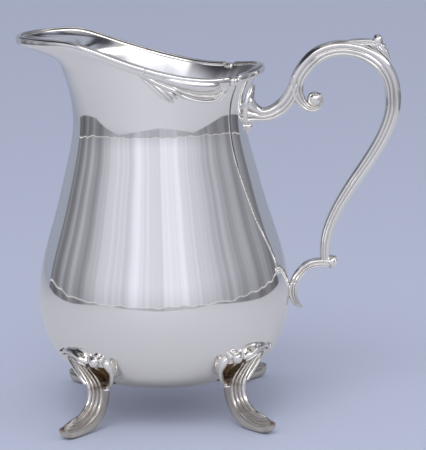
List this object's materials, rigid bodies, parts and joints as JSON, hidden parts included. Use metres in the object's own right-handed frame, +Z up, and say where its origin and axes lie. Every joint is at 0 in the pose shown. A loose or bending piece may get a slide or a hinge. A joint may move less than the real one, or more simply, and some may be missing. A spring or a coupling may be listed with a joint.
{
  "type": "water pitcher",
  "caption": "Footed silver-plated water pitcher with a pear-shaped body, a drawn-out spout, a cast scroll border, a C-scroll handle and scroll feet.",
  "frame": {"origin": "on the floor under the body's axis, in the plane of the four soles", "axes": "+Z up along the body's axis; +X towards the handle, so the spout points to -X; +Y to the pitcher's left as it is poured"},
  "size_m": [0.2405, 0.162, 0.2416],
  "materials": {
    "sheet": "silver-plated, mirror polished",
    "castings": "silver-plated, polished, with tarnish left in the hollows"
  },
  "bodies": {
    "root": {"body_shell": "sheet", "spout_border": "castings", "back_border": "castings", "side_scroll_near": "castings", "side_scroll_far": "castings", "rim_knuckle_near": "castings", "rim_knuckle_far": "castings", "handle_socket": "castings", "handle_arm": "castings", "handle_scroll": "castings", "thumb_rest": "castings", "handle_bracket": "castings", "handle_tail": "castings", "foot_leg_1": "castings", "foot_plate_1": "castings", "foot_leg_2": "castings", "foot_plate_2": "castings", "foot_leg_3": "castings", "foot_plate_3": "castings", "foot_leg_4": "castings", "foot_plate_4": "castings"}
  },
  "joints": []
}
